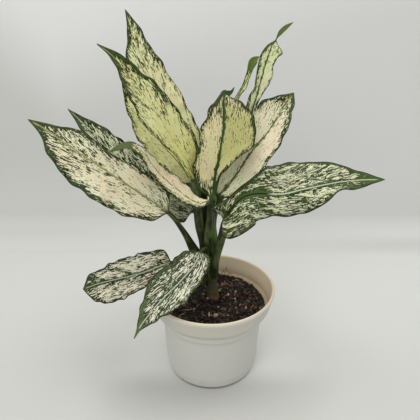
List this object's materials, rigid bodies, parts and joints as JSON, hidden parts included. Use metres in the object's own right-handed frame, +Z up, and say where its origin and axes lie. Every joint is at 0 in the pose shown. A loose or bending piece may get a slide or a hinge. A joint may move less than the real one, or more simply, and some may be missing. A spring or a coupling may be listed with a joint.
{
  "type": "potted chinese evergreen",
  "caption": "Chinese evergreen houseplant: long pointed leaves flecked cream and green on stalks from a short cane, in a round plastic nursery pot with a deep collar and a flat base.",
  "frame": {"origin": "centre of the pot's flat underside, where it rests", "axes": "+Z up along the pot's axis, -Y towards the front, +X to the right seen from the front"},
  "size_m": [0.3244, 0.1604, 0.3772],
  "materials": {
    "pot_plastic": "satin moulded plastic, off-white, slightly yellowed at the rim and inside",
    "potting_mix": "rough dark brown mix of bark, coir and peat crumbs",
    "green_cane": "smooth olive green with pale rings, reddish brown at the soil",
    "young_leaf": "waxy leaf, pale yellow green to cream with dark green flecks and margin",
    "mature_leaf": "waxy leaf, dark green with dense cream flecks"
  },
  "bodies": {
    "root": {"pot": "pot_plastic", "soil": "potting_mix", "cane": "green_cane", "leaf_low_left": "mature_leaf", "leaf_low_front": "mature_leaf", "leaf_right_broad": "mature_leaf", "leaf_left_broad": "mature_leaf", "leaf_left_rear": "mature_leaf", "leaf_left_curled": "young_leaf", "leaf_behind_upper_left": "young_leaf", "leaf_upper_left": "young_leaf", "leaf_right_upper": "young_leaf", "leaf_top_left": "young_leaf", "leaf_centre": "young_leaf", "leaf_second_youngest": "young_leaf", "leaf_youngest": "young_leaf"}
  },
  "joints": []
}
